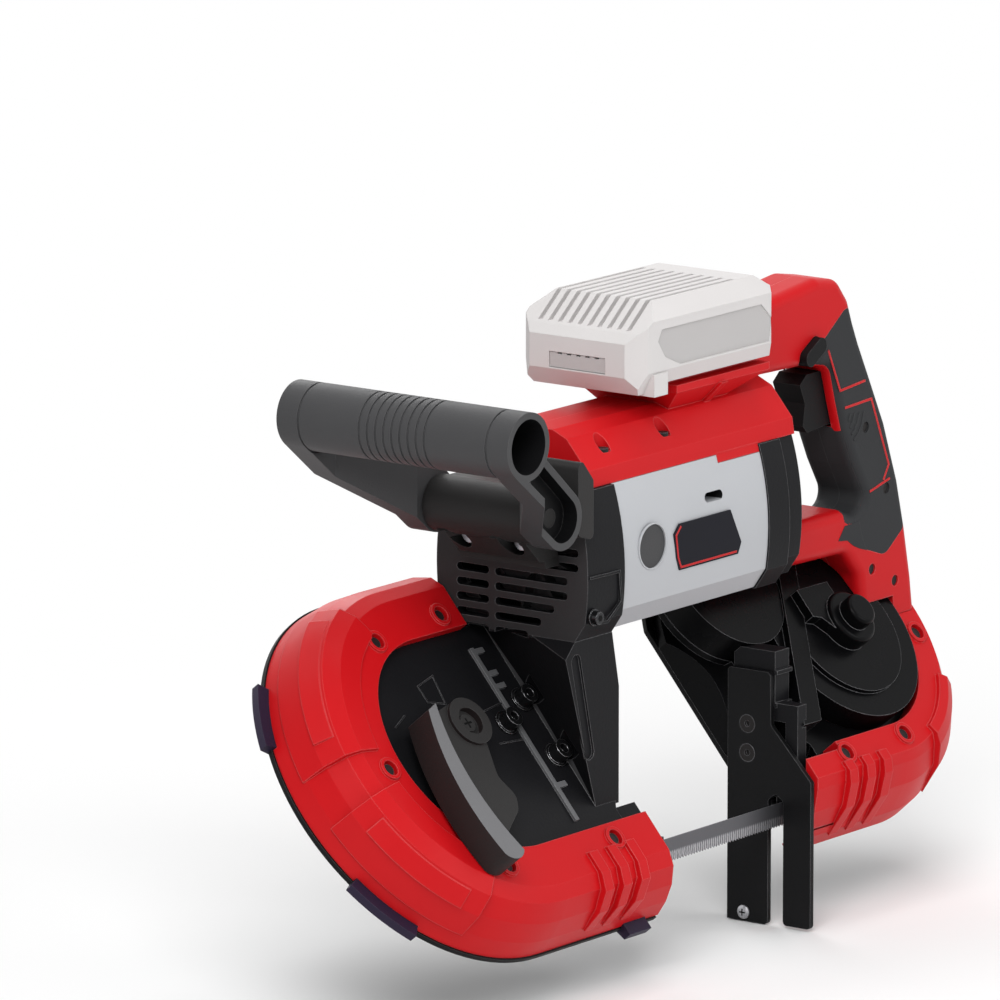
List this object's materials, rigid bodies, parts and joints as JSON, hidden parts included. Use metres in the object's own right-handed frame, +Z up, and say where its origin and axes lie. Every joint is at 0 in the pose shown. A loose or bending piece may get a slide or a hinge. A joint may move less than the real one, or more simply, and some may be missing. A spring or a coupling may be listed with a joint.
{
  "type": "portable band saw",
  "caption": "Battery band saw with tilted band wheels in red-bumpered housings, guided blade and shoe, geared motor, rear trigger handle and swinging front handle.",
  "frame": {"origin": "under the middle of the whole saw, at the height of the shoe's lowest edge", "axes": "+X along the blade to the rear handle, +Y to the far (wheel cover) side, +Z up"},
  "size_m": [0.526, 0.1684, 0.356],
  "materials": {
    "red_plastic": "moulded red plastic, fine grain",
    "black_casting": "die casting, black paint",
    "silver_casting": "die casting, silver paint",
    "dark_rubber": "soft moulded grip",
    "pad_rubber": "moulded rubber",
    "black_plastic": "moulded, matte",
    "steel": "bright steel",
    "blade_steel": "rolled strip",
    "shoe_steel": "powder coat",
    "wheel_alloy": "turned casting",
    "tyre_rubber": "band tyre",
    "battery_grey": "moulded, pale",
    "label_dark": "bare plate"
  },
  "bodies": {
    "frame": {"front_housing": "black_casting", "rear_housing": "black_casting", "gear_cover": "black_casting", "frame_bridge": "black_casting", "front_wheel_cover": "black_plastic", "rear_wheel_cover": "black_plastic", "cover_screws": "steel", "front_bumper": "red_plastic", "rear_bumper": "red_plastic", "bumper_pads": "pad_rubber", "bumper_screws": "steel", "motor_housing": "silver_casting", "motor_stator": "steel", "motor_bearings": "steel", "motor_rear_collar": "black_casting", "brush_caps": "black_plastic", "brush_holders": "steel", "nameplate": "label_dark", "clamshell_near": "red_plastic", "clamshell_far": "red_plastic", "clamshell_screws": "steel", "grip_overmould": "dark_rubber", "switch_module": "black_plastic", "battery_terminal_block": "black_plastic", "handle_bracket": "black_casting", "bracket_bolts": "steel", "shoe_plate": "shoe_steel", "shoe_screws": "steel", "front_guide_bracket": "black_casting", "rear_guide_bracket": "black_casting", "slide_guide": "steel", "slide_bolts": "steel", "tension_spring": "steel", "gearbox_bearings": "steel", "saw_band": "blade_steel"},
    "drive_wheel_set": {"drive_wheel": "wheel_alloy", "drive_tyre": "tyre_rubber", "drive_shaft": "steel", "drive_gear": "steel"},
    "idler_gear_set": {"idler_gear": "steel"},
    "crown_gear_set": {"crown_gear": "steel"},
    "rotor": {"armature": "steel", "motor_fan": "black_plastic"},
    "tension_lever": {"tension_lever": "black_plastic"},
    "idler_carriage": {"idler_carriage": "steel"},
    "idler_wheel_set": {"idler_wheel": "wheel_alloy", "idler_tyre": "tyre_rubber", "idler_bearing": "steel"},
    "trigger": {"trigger": "black_plastic"},
    "lock_button": {"lock_button": "black_plastic"},
    "front_handle": {"front_handle": "black_plastic"},
    "battery": {"battery_case": "battery_grey"},
    "battery_latch": {"battery_latch": "label_dark"},
    "front_roller_near": {"front_roller_near": "steel"},
    "front_roller_far": {"front_roller_far": "steel"},
    "front_roller_back": {"front_roller_back": "steel"},
    "rear_roller_near": {"rear_roller_near": "steel"},
    "rear_roller_far": {"rear_roller_far": "steel"},
    "rear_roller_back": {"rear_roller_back": "steel"}
  },
  "joints": [
    {"name": "drive_spin", "type": "hinge", "parent": "frame", "child": "drive_wheel_set", "pos_m": [0.16503, 0.00219, 0.12328], "axis": [0, -0.766, 0.6428], "continuous": true},
    {"name": "idler_gear_spin", "type": "hinge", "parent": "frame", "child": "idler_gear_set", "pos_m": [0.09592, 0.02934, 0.15565], "axis": [0, -0.766, 0.6428], "continuous": true},
    {"name": "crown_gear_spin", "type": "hinge", "parent": "frame", "child": "crown_gear_set", "pos_m": [0.06853, 0.05169, 0.18227], "axis": [0, -0.766, 0.6428], "continuous": true},
    {"name": "rotor_spin", "type": "hinge", "parent": "frame", "child": "rotor", "pos_m": [-0.04546, -0.00523, 0.23003], "axis": [1, 0, 0], "continuous": true},
    {"name": "lever_swing", "type": "hinge", "parent": "frame", "child": "tension_lever", "pos_m": [-0.15863, 0.00798, 0.13018], "axis": [0, 0.766, -0.6428], "range_deg": [0, 90]},
    {"name": "carriage_slide", "type": "slide", "parent": "frame", "child": "idler_carriage", "axis": [1, 0, 0], "range_m": [0, 0.008], "deforming": ["tension_spring"]},
    {"name": "idler_spin", "type": "hinge", "parent": "idler_carriage", "child": "idler_wheel_set", "pos_m": [-0.15363, 0.00219, 0.12328], "axis": [0, -0.766, 0.6428], "continuous": true},
    {"name": "front_roller_near_spin", "type": "hinge", "parent": "frame", "child": "front_roller_near", "pos_m": [-0.05346, -0.05578, 0.062], "axis": [0, 0, 1], "continuous": true},
    {"name": "front_roller_far_spin", "type": "hinge", "parent": "frame", "child": "front_roller_far", "pos_m": [-0.05346, -0.04268, 0.062], "axis": [0, 0, 1], "continuous": true},
    {"name": "front_roller_back_spin", "type": "hinge", "parent": "frame", "child": "front_roller_back", "pos_m": [-0.06696, -0.04923, 0.0748], "axis": [0, 1, 0], "continuous": true},
    {"name": "rear_roller_near_spin", "type": "hinge", "parent": "frame", "child": "rear_roller_near", "pos_m": [0.08654, -0.05578, 0.062], "axis": [0, 0, 1], "continuous": true},
    {"name": "rear_roller_far_spin", "type": "hinge", "parent": "frame", "child": "rear_roller_far", "pos_m": [0.08654, -0.04268, 0.062], "axis": [0, 0, 1], "continuous": true},
    {"name": "rear_roller_back_spin", "type": "hinge", "parent": "frame", "child": "rear_roller_back", "pos_m": [0.10003, -0.04923, 0.0748], "axis": [0, 1, 0], "continuous": true},
    {"name": "trigger_slide", "type": "slide", "parent": "frame", "child": "trigger", "axis": [1, 0, 0], "range_m": [0, 0.008], "stiffness_N_per_m": 600, "springref_m": -0.004},
    {"name": "lock_slide", "type": "slide", "parent": "frame", "child": "lock_button", "axis": [0, 1, 0], "range_m": [0, 0.004], "stiffness_N_per_m": 800, "springref_m": -0.003},
    {"name": "front_handle_tilt", "type": "hinge", "parent": "frame", "child": "front_handle", "pos_m": [-0.13647, -0.04723, 0.26003], "axis": [0, 1, 0], "range_deg": [-40, 20]},
    {"name": "battery_slide", "type": "slide", "parent": "frame", "child": "battery", "axis": [-1, 0, 0], "range_m": [0, 0.1]},
    {"name": "latch_slide", "type": "slide", "parent": "battery", "child": "battery_latch", "axis": [1, 0, 0], "range_m": [0, 0.003], "stiffness_N_per_m": 800, "springref_m": -0.002}
  ],
  "couplings": [
    {"joint": "idler_gear_spin", "follows": "drive_spin", "ratio": -1.5116},
    {"joint": "crown_gear_spin", "follows": "drive_spin", "ratio": 4.0625},
    {"joint": "rotor_spin", "follows": "drive_spin", "ratio": -16.25},
    {"joint": "carriage_slide", "follows": "lever_swing", "m_per_rad": 0.005093},
    {"joint": "idler_spin", "follows": "drive_spin", "ratio": 1},
    {"joint": "front_roller_near_spin", "follows": "drive_spin", "ratio": -13.333},
    {"joint": "front_roller_far_spin", "follows": "drive_spin", "ratio": 13.333},
    {"joint": "front_roller_back_spin", "follows": "drive_spin", "ratio": -13.333},
    {"joint": "rear_roller_near_spin", "follows": "drive_spin", "ratio": -13.333},
    {"joint": "rear_roller_far_spin", "follows": "drive_spin", "ratio": 13.333},
    {"joint": "rear_roller_back_spin", "follows": "drive_spin", "ratio": -13.333}
  ]
}
